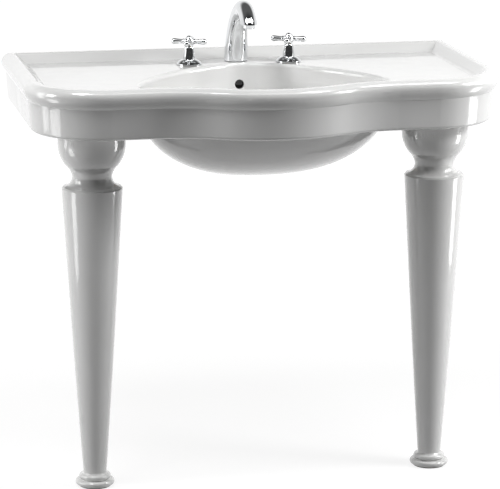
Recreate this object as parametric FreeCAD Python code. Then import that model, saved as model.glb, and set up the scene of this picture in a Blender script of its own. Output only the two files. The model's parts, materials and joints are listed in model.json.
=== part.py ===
"""Console basin on two turned ceramic legs, with a three-hole mixer set.

X runs to the right, Y towards the wall and Z up. The origin is on the floor, in the
middle of the plan. All sizes are in millimetres.
"""
import FreeCAD, Part
import math
import os

V = FreeCAD.Vector
UP = V(0, 0, 1)

# ---- basin: overall
WIDTH = 914.0            # over the rim bead
SIDE_DEPTH = 480.0       # wall to the front flats, over the bead
BULGE = 55.0             # how far the front sweeps forward in the middle
SWEEP_X = 230.0          # where the front sweep starts, from the centre line
CORNER_R = 138.0         # front corners, in plan, on the apron
RIM_HEIGHT = 786.0       # floor to the crest of the rim
RIM_DEPTH = 94.5         # crest to the bottom of the apron

# ---- basin: rim section, measured from the crest and from the apron face
BEAD_OUT = 8.0           # the bead stands this far out of the apron
BEAD_R = 17.0            # upper round of the bead
CREASE_DROP = 36.0       # crest to the crease under the bead
CREST_IN = 17.0          # apron face to the inner edge of the crest
SLOPE_W = 20.0           # crest to deck, across the slope
DECK_DROP = 16.0         # crest to the deck
DECK_T = 16.0
APRON_T = 15.0
APRON_DRAFT = 4.0        # the apron leans in towards its bottom
APRON_EDGE_R = 7.0
SLOPE_R = 6.0            # how far each end of the slope is eased
REAR_T = 18.0            # wall-side upstand
REAR_CREST = 8.0
REAR_SLOPE_W = 37.0

# ---- basin: bowl
BOWL_SIDE = 221.0        # rim bead to the bowl's edge, at its widest
BOWL_REAR = 110.0        # wall to the rear edge of the bowl
BOWL_NOSE = 63.0         # rim bead to the bowl's front edge, in the middle
BOWL_BELLY = 128.5       # front edge of the bowl to its widest line
BOWL_DEPTH = 172.0       # deck to the bottom of the bowl
BOWL_WALL = 14.0
BOWL_LIP_R = 8.0         # round between deck and bowl
REAR_POWER = 1.5         # shape of the plan behind and before the widest line
FRONT_POWER = 2.2
WALL_POWER = 2.25        # shape of the wall from deck to bottom
BOWL_TURNS = (0, 7, 14, 27, 39, 50, 60, 69, 77, 82)
DRAIN = 200.0            # front edge of the bowl to the drain
DRAIN_R = 23.0
DRAIN_SEAT_R = 32.0
DRAIN_SEAT_T = 3.0
DRAIN_BOSS_R = 34.0      # flat round the hole, for the nut of the waste
OVERFLOW_R = 9.3
OVERFLOW_DROP = 42.0     # deck to the overflow hole
DUCT_W = 30.0
DUCT_SKIN = 6.0          # ceramic between the bowl and the overflow duct
DUCT_T = 6.0
DUCT_LEAD = 3.0          # the duct starts this many degrees of turn below its cover
DUCT_END = 86.0          # turn of the bowl's wall at which the duct meets the drain
DUCT_COVER_W = 46.0
DUCT_COVER_END = 80.0

# ---- basin: fixings
PAD_T = 18.0             # leg seats in the front corners
PAD_REACH = 78.0         # leg axis to the free edges of the seat
PAD_HOLE_R = 7.0
WALL_HOLE_X = 140.0      # wall bolts, from the centre line
WALL_HOLE_DROP = 54.0    # crest to the wall bolts
WALL_HOLE_R = 7.0
TAP_X = 100.0            # tap holes, from the centre line
TAP_Y = 108.0            # wall to the tap holes
TAP_HOLE_R = 15.0
SPOUT_Y = 76.0           # wall to the spout hole
SPOUT_HOLE_R = 14.0

# ---- legs, from the top down and from the foot up
LEG_SIDE = 124.5         # rim bead to the leg axes, at the sides
LEG_FRONT = 122.0        # rim bead to the leg axes, at the front flats
FOOT_PAD_T = 3.0
FOOT_PAD_R = 31.0
LEG_GASKET_T = 2.0
BALL_R = 64.0
BALL_DROP = 21.5         # leg top to the centre of the ball
BALL_FOOT = 1.33         # the ball passes into the neck at this many neck radii
NECK_R = 37.6
NECK_DROP = 81.0
SHOULDER_R = 57.7
SHOULDER_DROP = 106.0
SHAFT_FOOT_R = 22.4
SHAFT_SWELL = 0.9        # how far the shaft swells past a straight taper
TORUS_R = 37.5
TORUS_T = 11.0
RING_R = 30.3
RING_T = 12.0
RING_NECK_R = 27.5       # groove between torus and ring
LEG_WALL = 11.5
LEG_TOP_BORE_R = 44.0
LEG_FOOT_BORE_R = 13.0
FOOT_POCKET_R = 19.0
FOOT_POCKET_H = 14.0

# ---- tie rods
ROD_R = 5.0
ROD_FIT = 0.15           # nut or washer bore over the rod
NUT_AF = 17.0
NUT_T = 8.0
PLATE_T = 3.0
WASHER_R = 15.0
WASHER_T = 2.5
RUBBER_T = 2.0
ROD_END = 6.0            # rod past its top nut

# ---- spout, measured from the deck and from its own hole
SPOUT_BASE_R = 23.4
SPOUT_NOSE_R = 16.0
SPOUT_LINE = [(0.0, 0.0), (12.0, 62.0), (20.0, 132.0), (104.0, 134.0), (132.0, 80.0)]
SPOUT_SECTIONS = 11
SPOUT_TAPER = 0.6        # share of the centre line over which it narrows
SPOUT_WALL = 4.0
SPOUT_FLOOR = 14.0       # solid foot of the casting
SPOUT_MOUTH_H = 90.5     # deck to the mouth's flat face
SPOUT_REACH = 128.0      # spout hole to the mouth
SPOUT_MOUTH_W = 60.0     # the flat is cut over this length, about the mouth
SPOUT_TUBE_END = 0.92    # share of the centre line that is cored
AERATOR_R = 11.5
AERATOR_T = 8.0
AERATOR_SPIGOT_R = 9.6
AERATOR_SPIGOT_T = 4.0
AERATOR_INSERT_T = 5.0
SHANK_R = 10.4
SHANK_BORE_R = 7.5
SHANK_BELOW = 60.0       # deck to the shank's lower end
SPOUT_NUT_AF = 30.0
SPOUT_NUT_T = 9.0

# ---- link between the valves and the spout
LINK_DROP = 68.0         # deck to the axis of the link tubes
TEE_R = 14.0
TEE_H = 30.0
PORT_R = 8.5
PORT_BORE_R = 5.0
PORT_REACH = 26.0        # tee or valve axis to the end of its port
LINK_R = 6.0
LINK_BORE_R = 5.0
LINK_IN = 5.0            # tube into its port
LINK_NUT_AF = 20.0
LINK_NUT_T = 11.0

# ---- valves, measured from the deck
GASKET_T = 1.0
FLANGE_R = 25.0
FLANGE_EDGE = 2.5
FLANGE_H = 9.5
FLANGE_BELLY = 0.72      # height of the dome half way in, as a share of its full height
FLANGE_SKIN = 1.6
COLUMN_FOOT_R = 12.0
COLUMN_TOP_R = 9.6
COLUMN_MOUTH_R = 6.4
COLUMN_TOP = 36.0
COLUMN_SKIN = 1.8
VALVE_R = 13.2
COLLAR_R = 18.0
COLLAR_T = 3.0
VALVE_TOP = 6.0
VALVE_BELOW = 100.0
TAIL_R = 10.48
TAIL_L = 22.0
INLET_BORE_R = 6.0       # straight up the tail to the fixed disc
INLET_TUBE_R = 8.0       # tube that keeps the inlet apart from the outlet
OUTLET_R = 11.0          # outlet space round the inlet tube
OUTLET_FLOOR = 1.0       # below the side port's bore
VALVE_WASHER_R = 19.0
VALVE_NUT_AF = 34.0
VALVE_NUT_T = 9.0
CARTRIDGE_R = 9.0
CARTRIDGE_L = 36.0       # into the valve body, from its top
CARTRIDGE_FIT = 0.1
CARTRIDGE_AF = 16.0
CARTRIDGE_HEX_T = 3.0
GLAND_R = 5.4
GLAND_TOP = 28.0
CHAMBER_R = 7.2
CHAMBER_L = 12.0
SEAL_L = 12.0            # headwork fits the body over this length, below the flange
WINDOW_W = 7.0
WINDOW_GAP = 1.0         # window clear of the fixed disc and of the chamber's roof
DISC_R = 6.9
DISC_T = 3.0
DISC_HOLE_R = 2.2
RUN_GAP = 0.3            # faces of pieces that turn past each other

# ---- handles
SPINDLE_R = 4.0
SPINDLE_FIT = 0.05
SPINDLE_FOOT_R = 6.6
SPINDLE_FOOT_T = 4.0
HUB_R = 11.0
HUB_H = 45.5             # deck to the axis of the arms
ARM_SPAN = 71.0
ARM_ROOT_R = 8.8         # the arms start this far from the spindle, inside the hub
ARM_NECK_R = 4.4
ARM_END_R = 5.9
ARM_COLLAR_R = 5.3
ARM_COLLAR_T = 1.6
ARM_COUNT = 4
HANDLE_TURN = -20.0      # how the arms stand when the valve is shut
CAP_R = 6.6
CAP_SEAT = 6.5           # arm axis to the cap's seat
CAP_H = 5.2
SCREW_R = 2.0
SCREW_L = 14.0
SCREW_HEAD_R = 3.6
SCREW_HEAD_T = 2.6

# ---- worked out
HALF = WIDTH / 2 - BEAD_OUT
DEPTH = SIDE_DEPTH + BULGE
WALL = DEPTH / 2
FLAT_Y = WALL - SIDE_DEPTH + BEAD_OUT
SWEEP_R = (SWEEP_X ** 2 + BULGE ** 2) / (4 * BULGE)
SWEEP_ANGLE = math.degrees(math.atan2(SWEEP_X / 2, SWEEP_R - BULGE / 2))
CREST = RIM_HEIGHT
DECK = CREST - DECK_DROP
UNDER_DECK = DECK - DECK_T
CREASE = CREST - CREASE_DROP
APRON_BOTTOM = CREST - RIM_DEPTH
SLOPE_FOOT = CREST_IN + SLOPE_W
BOWL_HALF = WIDTH / 2 - BOWL_SIDE
BOWL_FRONT_Y = BOWL_NOSE - WALL
BOWL_WIDEST_Y = BOWL_FRONT_Y + BOWL_BELLY
BOWL_REAR_Y = WALL - BOWL_REAR
BOWL_BOTTOM = DECK - BOWL_DEPTH
DRAIN_Y = BOWL_FRONT_Y + DRAIN
LEG_X = WIDTH / 2 - LEG_SIDE
LEG_AXIS_Y = WALL - SIDE_DEPTH + LEG_FRONT
LEG_TOP = APRON_BOTTOM - LEG_GASKET_T
PAD_TOP = APRON_BOTTOM + PAD_T
TAP_AXIS_Y = WALL - TAP_Y
SPOUT_AXIS_Y = WALL - SPOUT_Y


def save(name, shape):
    shape.exportStep("parts/" + name + ".step")


def at(shape, x=0.0, y=0.0, z=0.0):
    moved = shape.copy()
    moved.translate(V(x, y, z))
    return moved


def turned_about_z(shape, degrees, x=0.0, y=0.0):
    moved = shape.copy()
    moved.rotate(V(x, y, 0), UP, degrees)
    return moved


def mirrored(shape):
    return shape.mirror(V(0, 0, 0), V(1, 0, 0))


def rod(radius, low, high):
    return Part.makeCylinder(radius, high - low, V(0, 0, low))


def ring(outer, inner, low, high):
    return rod(outer, low, high).cut(rod(inner, low - 1, high + 1))


def hex_bar(across_flats, low, high):
    corner = across_flats / math.sqrt(3)
    points = [V(corner * math.cos(math.radians(a)), corner * math.sin(math.radians(a)), low)
              for a in range(0, 361, 60)]
    return Part.Face(Part.makePolygon(points)).extrude(V(0, 0, high - low))


def hex_nut(across_flats, bore, low, high):
    """Hexagon nut whose corners are turned off at both ends."""
    corner = across_flats / math.sqrt(3)
    ease = corner - across_flats / 2
    blank = turned((0, low), (across_flats / 2, low), (corner, low + ease / 2),
                   (corner, high - ease / 2), (across_flats / 2, high), (0, high))
    return hex_bar(across_flats, low, high).common(blank).cut(rod(bore, low - 1, high + 1))


def section(*steps):
    """Closed face in the XZ plane. A step is a corner, or the (middle, end) of an arc."""
    edges = []
    here = V(steps[0][0], 0, steps[0][1])
    first = here
    for step in steps[1:]:
        if isinstance(step[0], tuple):
            middle = V(step[0][0], 0, step[0][1])
            there = V(step[1][0], 0, step[1][1])
            edges.append(Part.Arc(here, middle, there).toShape())
        else:
            there = V(step[0], 0, step[1])
            edges.append(Part.LineSegment(here, there).toShape())
        here = there
    edges.append(Part.LineSegment(here, first).toShape())
    return Part.Face(Part.Wire(edges))


def turned(*steps):
    """Solid of revolution about Z, from its section."""
    return section(*steps).revolve(V(0, 0, 0), UP, 360)


def on_circle(centre, radius, degrees):
    a = math.radians(degrees)
    return (centre[0] + radius * math.cos(a), centre[1] + radius * math.sin(a))


# ---- basin
def rim_section():
    """Bead, crest, slope, deck edge and apron wall. X is out of the apron face."""
    bead = (BEAD_OUT - BEAD_R, CREST - BEAD_R)
    drop = CREST - BEAD_R - CREASE
    under_r = (drop ** 2 + BEAD_OUT ** 2) / (2 * BEAD_OUT)
    under = (BEAD_OUT - under_r, CREST - BEAD_R)
    under_angle = math.degrees(math.asin(drop / under_r))
    slope_angle = math.atan2(DECK_DROP, SLOPE_W)
    ease_x = SLOPE_R * math.cos(slope_angle)
    ease_z = SLOPE_R * math.sin(slope_angle)
    foot = (-SLOPE_FOOT, DECK)
    crest = (-CREST_IN, CREST)
    ease = SLOPE_R * math.tan(slope_angle / 2) / 4
    edge = (-APRON_DRAFT - APRON_EDGE_R, APRON_BOTTOM + APRON_EDGE_R)
    inside = -APRON_T - APRON_DRAFT
    deck_in = -SLOPE_FOOT - CORNER_R / 4
    return section(
        (deck_in, DECK),
        (foot[0] - SLOPE_R, DECK),
        ((foot[0], DECK + ease), (foot[0] + ease_x, DECK + ease_z)),
        (crest[0] - ease_x, CREST - ease_z),
        ((crest[0], CREST - ease), (crest[0] + SLOPE_R, CREST)),
        (bead[0], CREST),
        (on_circle(bead, BEAD_R, 45), (BEAD_OUT, bead[1])),
        (on_circle(under, under_r, -under_angle / 2), (0, CREASE)),
        (-APRON_DRAFT, edge[1]),
        (on_circle(edge, APRON_EDGE_R, -45), (edge[0], APRON_BOTTOM)),
        (inside, APRON_BOTTOM),
        (inside, UNDER_DECK),
        (deck_in, UNDER_DECK))


def rim():
    """The rim section carried round both sides, the corners and the swept front."""
    face = rim_section()
    side = turned_about_z(face, 180)
    front = turned_about_z(face, 270)
    corner = V(-HALF + CORNER_R, FLAT_Y + CORNER_R, 0)
    hollow = V(-SWEEP_X, FLAT_Y - SWEEP_R, 0)
    crown = V(0, FLAT_Y - BULGE + SWEEP_R, 0)
    start = turned_about_z(face, 270 - SWEEP_ANGLE)
    join = on_circle((crown.x, crown.y), SWEEP_R, 270 - SWEEP_ANGLE)
    left = [
        at(side, -HALF, WALL).extrude(V(0, corner.y - WALL, 0)),
        at(side, -HALF, corner.y).revolve(corner, UP, 90),
        at(front, corner.x, FLAT_Y).extrude(V(-SWEEP_X - corner.x, 0, 0)),
        at(front, -SWEEP_X, FLAT_Y).revolve(hollow, UP, -SWEEP_ANGLE)]
    middle = at(start, join[0], join[1]).revolve(crown, UP, 2 * SWEEP_ANGLE)
    return left + [middle] + [mirrored(piece) for piece in left]


def plan_face(inset, height, rear):
    """Flat face with the basin's plan, set in from the apron face."""
    half = HALF - inset
    flat = FLAT_Y + inset
    radius = CORNER_R - inset
    corner = (half - radius, flat + radius)
    crown = (0.0, FLAT_Y - BULGE + SWEEP_R)
    join = on_circle(crown, SWEEP_R - inset, 270 + SWEEP_ANGLE)
    hollow = on_circle((SWEEP_X, FLAT_Y - SWEEP_R), SWEEP_R + inset, 90 + SWEEP_ANGLE / 2)
    bend = on_circle(corner, radius, -45)

    def p(point, side=1):
        return V(side * point[0], point[1], height)

    half_edges = []
    for s in (1, -1):
        half_edges += [
            Part.LineSegment(p((half, rear), s), p((half, corner[1]), s)).toShape(),
            Part.Arc(p((half, corner[1]), s), p(bend, s), p((corner[0], flat), s)).toShape(),
            Part.LineSegment(p((corner[0], flat), s), p((SWEEP_X, flat), s)).toShape(),
            Part.Arc(p((SWEEP_X, flat), s), p(hollow, s), p(join, s)).toShape()]
    nose = V(0, crown[1] - SWEEP_R + inset, height)
    half_edges.append(Part.Arc(p(join), nose, p(join, -1)).toShape())
    half_edges.append(Part.LineSegment(V(-half, rear, height), V(half, rear, height)).toShape())
    return Part.Face(Part.Wire(Part.__sortEdges__(half_edges)))


def rear_upstand():
    """Wall-side rail: a flat back, a narrow crest and a long slope down to the deck."""
    crest = WALL - REAR_CREST
    foot = crest - REAR_SLOPE_W
    inner = WALL - REAR_T
    ease = REAR_CREST / 2
    half = HALF - CREST_IN
    face = section(
        (foot - SLOPE_R, DECK), (foot, DECK),
        (crest - ease, CREST - ease / 2),
        ((crest, CREST - ease / 8), (crest + ease, CREST)),
        (WALL, CREST), (WALL, APRON_BOTTOM), (inner, APRON_BOTTOM),
        (inner, UNDER_DECK), (foot - SLOPE_R, UNDER_DECK))
    rail = at(turned_about_z(face, 90), half)
    return rail.extrude(V(-2 * half, 0, 0))


def bowl_size(grow, turn):
    """Share of the plan and drop below the deck, turn degrees from the edge to the bottom."""
    a = math.radians(turn)
    share = math.cos(a) ** (2 / WALL_POWER)
    drop = (BOWL_DEPTH + grow) * math.sin(a) ** (2 / WALL_POWER)
    return share, drop


def bowl_wire(grow, share, height):
    """Level line of the bowl: its plan outline, drawn in towards the drain."""
    points = []
    for degrees in range(0, 360, 15):
        a = math.radians(degrees)
        rear = degrees < 180
        power = REAR_POWER if rear else FRONT_POWER
        reach = BOWL_REAR_Y - BOWL_WIDEST_Y if rear else BOWL_BELLY
        x = math.copysign(abs(math.cos(a)) ** (2 / power), math.cos(a)) * (BOWL_HALF + grow)
        y = math.copysign(abs(math.sin(a)) ** (2 / power), math.sin(a)) * (reach + grow)
        y = DRAIN_Y + (BOWL_WIDEST_Y + y - DRAIN_Y) * share
        points.append(V(x * share, y, height))
    curve = Part.BSplineCurve()
    curve.interpolate(Points=points, PeriodicFlag=True)
    return Part.Wire(curve.toShape())


def bowl_solid(grow):
    """Body between the level lines, from the deck to the bottom."""
    wires = []
    for turn in BOWL_TURNS:
        share, drop = bowl_size(grow, turn)
        wires.append(bowl_wire(grow, share, DECK - drop))
    return Part.makeLoft(wires, True, False, False)


def bowl_lip():
    """What is taken off the edge of the deck, so that it rolls into the bowl."""
    wires = []
    for degrees in (0, 15, 30, 50, 70, 90):
        out, up = on_circle((BOWL_LIP_R, -BOWL_LIP_R), BOWL_LIP_R, 180 - degrees)
        wires.append(bowl_wire(out, 1, DECK + up))
    lip = Part.makeLoft(wires, True, False, False)
    above = Part.Face(wires[-1]).extrude(V(0, 0, DECK_DROP))
    return [lip, above]


def bowl_rear_point(grow, turn):
    share, drop = bowl_size(grow, turn)
    return V(0, DRAIN_Y + (BOWL_REAR_Y + grow - DRAIN_Y) * share, DECK - drop)


def duct_band(inner, outer, first, last, width):
    """Band behind the bowl between two offsets of its wall, in the middle of its width."""
    turns = [first + (last - first) * k / 6 for k in range(7)]
    near = [bowl_rear_point(inner, t) for t in turns]
    far = [bowl_rear_point(outer, t) for t in reversed(turns)]
    near_curve = Part.BSplineCurve()
    near_curve.interpolate(near)
    far_curve = Part.BSplineCurve()
    far_curve.interpolate(far)
    edges = [near_curve.toShape(), Part.LineSegment(near[-1], far[0]).toShape(),
             far_curve.toShape(), Part.LineSegment(far[-1], near[0]).toShape()]
    face = Part.Face(Part.Wire(edges))
    face.translate(V(-width / 2, 0, 0))
    return face.extrude(V(width, 0, 0))


def turn_at_drop(drop):
    """Turn of the bowl's wall at a drop below the deck."""
    return math.degrees(math.asin((drop / BOWL_DEPTH) ** (WALL_POWER / 2)))


def leg_seat(basin_body):
    """Shelf stuck across a front corner of the basin, on which the right leg's top bears."""
    free_x = LEG_X - PAD_REACH
    free_y = LEG_AXIS_Y + PAD_REACH
    plate = plan_face(APRON_T, APRON_BOTTOM, WALL).extrude(V(0, 0, PAD_T))
    block = Part.makeBox(HALF - free_x, free_y + WALL, PAD_T, V(free_x, -WALL, APRON_BOTTOM))
    hole = at(rod(PAD_HOLE_R, APRON_BOTTOM - 1, PAD_TOP + 1), LEG_X, LEG_AXIS_Y)
    return plate.common(block).cut(basin_body).cut(hole)


def basin():
    deck = plan_face(SLOPE_FOOT + CORNER_R / 8, UNDER_DECK, WALL - REAR_T / 2)
    body = rim()[0].multiFuse(rim()[1:] + [rear_upstand(), deck.extrude(V(0, 0, DECK_T))])
    body = body.removeSplitter()
    below_deck = Part.makeBox(WIDTH, DEPTH, DECK, V(-WIDTH / 2, -WALL, -DECK_T / 2))
    shell = bowl_solid(BOWL_WALL).common(below_deck)
    boss = rod(DRAIN_BOSS_R, BOWL_BOTTOM - BOWL_WALL, BOWL_BOTTOM)
    start = turn_at_drop(OVERFLOW_DROP - OVERFLOW_R)
    cover = duct_band(BOWL_WALL / 2, BOWL_WALL + DUCT_T, start, DUCT_COVER_END, DUCT_COVER_W)
    body = body.multiFuse([shell, at(boss, 0, DRAIN_Y), cover])
    body = body.cut(bowl_solid(0)).cut(Part.makeCompound(bowl_lip()))
    duct = duct_band(DUCT_SKIN, DUCT_SKIN + DUCT_T, start + DUCT_LEAD, DUCT_END, DUCT_W)
    hole_z = DECK - OVERFLOW_DROP
    reach = bowl_rear_point(DUCT_SKIN + DUCT_T / 2, turn_at_drop(OVERFLOW_DROP)).y
    overflow = Part.makeCylinder(OVERFLOW_R, reach - DRAIN_Y, V(0, DRAIN_Y, hole_z), V(0, 1, 0))
    seat = rod(DRAIN_SEAT_R, BOWL_BOTTOM - DRAIN_SEAT_T, BOWL_BOTTOM + DRAIN_SEAT_R)
    drain = rod(DRAIN_R, BOWL_BOTTOM - BOWL_DEPTH, BOWL_BOTTOM)
    cuts = [duct, overflow, at(seat, 0, DRAIN_Y), at(drain, 0, DRAIN_Y)]
    for s in (1, -1):
        cuts.append(at(rod(TAP_HOLE_R, UNDER_DECK - 1, DECK + 1), s * TAP_X, TAP_AXIS_Y))
        cuts.append(Part.makeCylinder(WALL_HOLE_R, REAR_T + 2,
                                      V(s * WALL_HOLE_X, WALL + 1, CREST - WALL_HOLE_DROP),
                                      V(0, -1, 0)))
    cuts.append(at(rod(SPOUT_HOLE_R, UNDER_DECK - 1, DECK + 1), 0, SPOUT_AXIS_Y))
    return body.cut(Part.makeCompound(cuts))


# ---- legs
def leg():
    """Hollow turned leg standing on its foot pad, on the Z axis."""
    low = FOOT_PAD_T
    ball_z = LEG_TOP - BALL_DROP
    neck_z = LEG_TOP - NECK_DROP
    shoulder_z = LEG_TOP - SHOULDER_DROP
    shaft_z = low + TORUS_T + RING_T
    shaft_mid = ((SHAFT_FOOT_R + SHOULDER_R) / 2 + SHAFT_SWELL, (shaft_z + shoulder_z) / 2)
    torus_z = low + TORUS_T
    ring_mid = torus_z + RING_T / 2
    scotia_h = neck_z - shoulder_z
    ball_low = BALL_FOOT * NECK_R
    touch_z = ball_z - math.sqrt(BALL_R ** 2 - ball_low ** 2)
    ball_mid = on_circle((0, ball_z), BALL_R, -math.degrees(math.acos(ball_low / BALL_R)) / 2)
    ease = LEG_WALL / 4
    outside = [
        (FOOT_PAD_R, low), (TORUS_R - ease, low),
        ((TORUS_R, low + TORUS_T / 3), (RING_NECK_R + ease, torus_z - ease / 3)),
        (RING_NECK_R, torus_z),
        ((RING_R, ring_mid), (RING_NECK_R - ease, shaft_z - ease / 2)),
        (SHAFT_FOOT_R, shaft_z + ease / 2),
        (shaft_mid, (SHOULDER_R, shoulder_z)),
        (SHOULDER_R - ease, shoulder_z + ease),
        ((NECK_R + ease * 2, shoulder_z + scotia_h / 3), (NECK_R, neck_z - ease)),
        ((NECK_R + ease / 2, neck_z + ease), (ball_low, touch_z)),
        (ball_mid, (BALL_R, ball_z)),
        (BALL_R, LEG_TOP - ease),
        (BALL_R - ease, LEG_TOP)]
    inside = [
        (LEG_TOP_BORE_R, LEG_TOP), (LEG_TOP_BORE_R, ball_z),
        (NECK_R - LEG_WALL, touch_z), (NECK_R - LEG_WALL, neck_z - ease),
        (LEG_TOP_BORE_R, shoulder_z - LEG_WALL),
        (LEG_FOOT_BORE_R, shaft_z + LEG_WALL), (LEG_FOOT_BORE_R, low + FOOT_POCKET_H),
        (FOOT_POCKET_R, low + FOOT_POCKET_H), (FOOT_POCKET_R, low)]
    return turned(*outside, *inside)


def leg_set(name, x):
    y = LEG_AXIS_Y
    pocket = FOOT_PAD_T + FOOT_POCKET_H
    rod_low = pocket - PLATE_T - NUT_T - 1
    rod_high = PAD_TOP + RUBBER_T + WASHER_T + NUT_T + ROD_END
    save(name + "_leg", at(leg(), x, y))
    save(name + "_foot_pad", at(rod(FOOT_PAD_R, 0, FOOT_PAD_T), x, y))
    save(name + "_leg_gasket", at(ring(BALL_R - 3, LEG_TOP_BORE_R, LEG_TOP, APRON_BOTTOM), x, y))
    save(name + "_tie_rod", at(rod(ROD_R, rod_low, rod_high), x, y))


def pair(shape):
    return Part.makeCompound([at(shape, -LEG_X, LEG_AXIS_Y), at(shape, LEG_X, LEG_AXIS_Y)])


def leg_fixings():
    pocket = FOOT_PAD_T + FOOT_POCKET_H
    bore = ROD_R + ROD_FIT
    rubber_top = PAD_TOP + RUBBER_T
    washer_top = rubber_top + WASHER_T
    save("foot_bridge_plates", pair(ring(FOOT_POCKET_R - 1, bore, pocket - PLATE_T, pocket)))
    save("foot_nuts", pair(hex_nut(NUT_AF, bore, pocket - PLATE_T - NUT_T, pocket - PLATE_T)))
    save("tie_rod_rubber_washers", pair(ring(WASHER_R, bore, PAD_TOP, rubber_top)))
    save("tie_rod_steel_washers", pair(ring(WASHER_R, bore, rubber_top, washer_top)))
    save("tie_rod_top_nuts", pair(hex_nut(NUT_AF, bore, washer_top, washer_top + NUT_T)))


# ---- spout
def spout_line():
    """Centre line of the spout, in the XZ plane with X pointing forward."""
    line = Part.BezierCurve()
    line.setPoles([V(u, 0, h) for u, h in SPOUT_LINE])
    return line


def spout_loft(shrink, first, last):
    """Body of round sections along the spout's centre line, between two shares of it."""
    line = spout_line()
    wires = []
    for k in range(SPOUT_SECTIONS):
        t = first + (last - first) * k / (SPOUT_SECTIONS - 1)
        taper = min(1.0, t / SPOUT_TAPER)
        taper = taper * taper * (3 - 2 * taper)
        radius = SPOUT_BASE_R + (SPOUT_NOSE_R - SPOUT_BASE_R) * taper - shrink
        normal = UP if t == 0 else line.tangent(t)[0]
        wires.append(Part.Wire(Part.Circle(line.value(t), normal, radius).toShape()))
    return Part.makeLoft(wires, True, False, False)


def spout_place(shape):
    """From the Z axis and X forward to the spout's own hole, pointing away from the wall."""
    return at(turned_about_z(shape, -90), 0, SPOUT_AXIS_Y, DECK)


def spout_casting():
    start = SPOUT_FLOOR / SPOUT_LINE[1][1] / (len(SPOUT_LINE) - 1)
    size = 4 * SPOUT_NOSE_R
    below = Part.makeBox(SPOUT_MOUTH_W, size, SPOUT_MOUTH_H,
                         V(SPOUT_REACH - SPOUT_MOUTH_W / 2, -size / 2, 0))
    foot = rod(2 * SPOUT_BASE_R, -SPOUT_BASE_R, GASKET_T)
    shank_hole = rod(SHANK_R + ROD_FIT, 0, SPOUT_FLOOR)
    way = rod(SHANK_BORE_R, 0, SPOUT_FLOOR + SPOUT_BASE_R)
    mouth = rod(AERATOR_SPIGOT_R + ROD_FIT, 0, SPOUT_MOUTH_H + 2 * AERATOR_SPIGOT_T)
    core = spout_loft(SPOUT_WALL, start, SPOUT_TUBE_END)
    body = spout_loft(0, 0, 1).cut(below)
    return body.cut(Part.makeCompound([foot, shank_hole])).cut(way).cut(core).cut(
        at(mouth, SPOUT_REACH))


def spout_set():
    mouth = SPOUT_MOUTH_H
    tip = mouth - AERATOR_T
    bore = AERATOR_SPIGOT_R - SPOUT_WALL / 2
    housing = turned(
        (bore, mouth + AERATOR_SPIGOT_T), (bore, tip), (AERATOR_R - 1, tip),
        (AERATOR_R, tip + 1), (AERATOR_R, mouth), (AERATOR_SPIGOT_R, mouth),
        (AERATOR_SPIGOT_R, mouth + AERATOR_SPIGOT_T))
    insert = rod(bore, tip + 1, tip + 1 + AERATOR_INSERT_T)
    shank_low = -SHANK_BELOW
    nut_top = -DECK_T - RUBBER_T - WASHER_T
    seat_r = SPOUT_NUT_AF / math.sqrt(3)
    save("spout", spout_place(spout_casting()))
    save("aerator_housing", spout_place(at(housing, SPOUT_REACH)))
    save("aerator_insert", spout_place(at(insert, SPOUT_REACH)))
    save("spout_gasket", spout_place(ring(SPOUT_BASE_R - 1, SPOUT_HOLE_R, 0, GASKET_T)))
    save("spout_shank", spout_place(ring(SHANK_R, SHANK_BORE_R, shank_low, SPOUT_FLOOR)))
    save("spout_rubber_washer", spout_place(
        ring(seat_r, SHANK_R + ROD_FIT, -DECK_T - RUBBER_T, -DECK_T)))
    save("spout_steel_washer", spout_place(
        ring(seat_r, SHANK_R + ROD_FIT, nut_top, -DECK_T - RUBBER_T)))
    save("spout_back_nut", spout_place(
        hex_nut(SPOUT_NUT_AF, SHANK_R + ROD_FIT, nut_top - SPOUT_NUT_T, nut_top)))


# ---- link from each valve to the spout
def link_angle():
    """Heading from the spout's axis to the right-hand valve's axis."""
    return math.degrees(math.atan2(TAP_AXIS_Y - SPOUT_AXIS_Y, TAP_X))


def along_link(shape, side):
    """A shape made on the Z axis, laid on the line from the spout to one valve."""
    laid = shape.copy()
    laid.rotate(V(0, 0, 0), V(0, 1, 0), 90)
    laid = at(turned_about_z(laid, link_angle()), 0, SPOUT_AXIS_Y, DECK - LINK_DROP)
    return laid if side > 0 else mirrored(laid)


def link_length():
    return math.hypot(TAP_X, SPOUT_AXIS_Y - TAP_AXIS_Y)


def spout_tee():
    low = -LINK_DROP - TEE_H / 2
    body = at(rod(TEE_R, low, low + TEE_H), 0, SPOUT_AXIS_Y, DECK)
    ports = [along_link(rod(PORT_R, 0, PORT_REACH), s) for s in (1, -1)]
    ways = [along_link(rod(PORT_BORE_R, 0, PORT_REACH - LINK_IN), s) for s in (1, -1)]
    seats = [along_link(rod(LINK_R + ROD_FIT, PORT_REACH - LINK_IN, PORT_REACH + 1), s)
             for s in (1, -1)]
    socket = at(rod(SHANK_R + ROD_FIT, -SHANK_BELOW, 0), 0, SPOUT_AXIS_Y, DECK)
    way = at(rod(SHANK_BORE_R, -LINK_DROP - PORT_BORE_R, 0), 0, SPOUT_AXIS_Y, DECK)
    return body.multiFuse(ports).cut(Part.makeCompound([socket, ways[0], ways[1]])).cut(
        Part.makeCompound(seats)).cut(way)


def link_set():
    near = PORT_REACH
    far = link_length() - PORT_REACH
    tube = ring(LINK_R, LINK_BORE_R, near - LINK_IN, far + LINK_IN)
    nut = hex_nut(LINK_NUT_AF, LINK_R + ROD_FIT, near, near + LINK_NUT_T)
    far_nut = at(nut, 0, 0, far - near - LINK_NUT_T)
    save("hot_link_tube", along_link(tube, -1))
    save("cold_link_tube", along_link(tube, 1))
    nuts = [along_link(piece, s) for s in (-1, 1) for piece in (nut, far_nut)]
    save("link_nuts", Part.makeCompound(nuts))
    save("spout_tee", spout_tee())


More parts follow.
